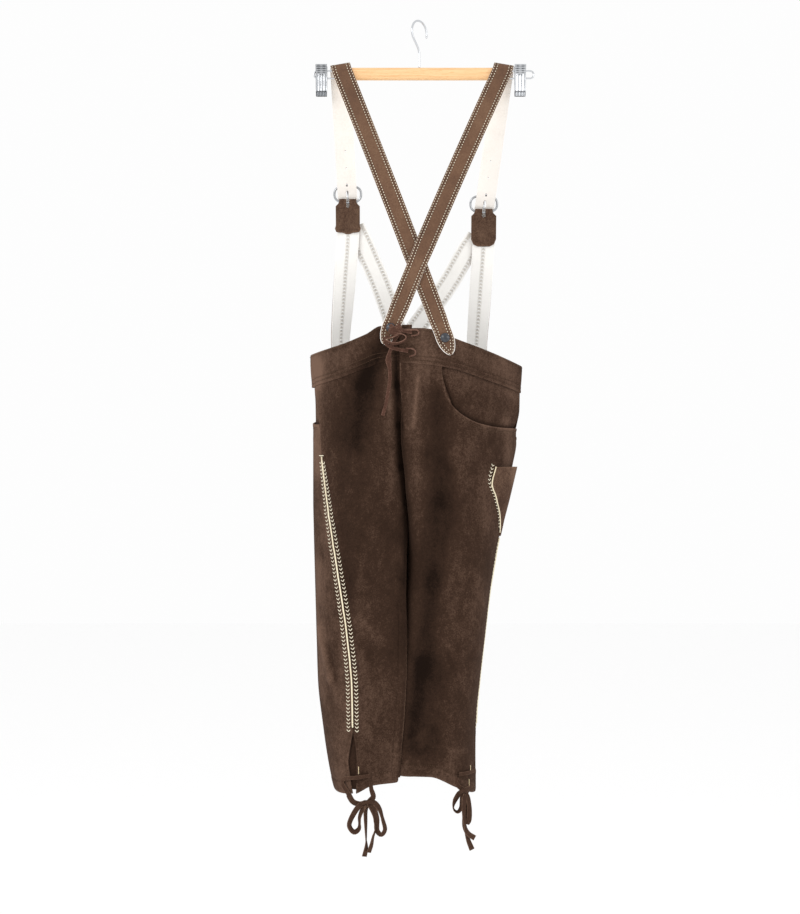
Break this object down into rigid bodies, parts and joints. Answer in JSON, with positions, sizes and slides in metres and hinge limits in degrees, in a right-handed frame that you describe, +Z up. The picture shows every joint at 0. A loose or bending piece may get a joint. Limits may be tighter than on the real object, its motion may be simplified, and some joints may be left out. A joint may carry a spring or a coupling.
{
  "type": "lederhosen on a clip hanger",
  "caption": "Knee-length suede breeches with crossed leather braces, buttoned front flap, laced back, embroidered side seams and tied hems, hung by the braces over a clip hanger.",
  "frame": {"origin": "the inner top of the hanger's hook, where a rail carries it", "axes": "+Z up; the garment's back faces -Y and its front +Y; +X is the wearer's right"},
  "size_m": [0.3467, 0.2065, 1.2935],
  "materials": {
    "suede": "napped dark brown suede",
    "suede_trim": "napped brown suede",
    "strap_leather": "matt brown leather",
    "strap_lining": "matt pale lining leather",
    "piping": "matt cream cord",
    "steel": "polished plated steel",
    "horn": "dark satin horn",
    "wood": "pale lacquered wood"
  },
  "bodies": {
    "root": {"back_lace_lower": "suede_trim", "back_lace_upper": "suede_trim", "back_left": "suede", "back_right": "suede", "buckle_frame_left": "steel", "buckle_frame_right": "steel", "buckle_patch_left": "suede_trim", "buckle_patch_right": "suede_trim", "buckle_prong_left": "steel", "buckle_prong_right": "steel", "button_back_left": "horn", "button_back_right": "horn", "button_flap_left": "horn", "button_flap_right": "horn", "button_front_left": "horn", "button_front_middle": "horn", "button_front_right": "horn", "diagonal_strap_left": "strap_leather", "diagonal_strap_left_lining": "strap_lining", "diagonal_strap_right": "strap_leather", "diagonal_strap_right_lining": "strap_lining", "front_flap": "suede", "front_left": "suede", "front_right": "suede", "front_strap_left": "strap_leather", "front_strap_left_lining": "strap_lining", "front_strap_right": "strap_leather", "front_strap_right_lining": "strap_lining", "hanger_bar": "wood", "hanger_clip_left": "steel", "hanger_clip_right": "steel", "hanger_hook": "steel", "hanger_wire_left": "steel", "hanger_wire_right": "steel", "hem_lace_left_back": "suede_trim", "hem_lace_left_front": "suede_trim", "hem_lace_right_back": "suede_trim", "hem_lace_right_front": "suede_trim", "knife_pocket": "suede_trim", "piping_left": "piping", "piping_right": "piping", "pocket_facing_back_right": "suede_trim", "pocket_facing_front_left": "suede_trim", "pocket_facing_front_right": "suede_trim", "strap_left": "strap_leather", "strap_left_lining": "strap_lining", "strap_right": "strap_leather", "strap_right_lining": "strap_lining", "vent_gusset_left": "suede_trim", "vent_gusset_right": "suede_trim", "waistband_back_left": "suede", "waistband_back_right": "suede", "waistband_front": "suede"}
  },
  "joints": []
}
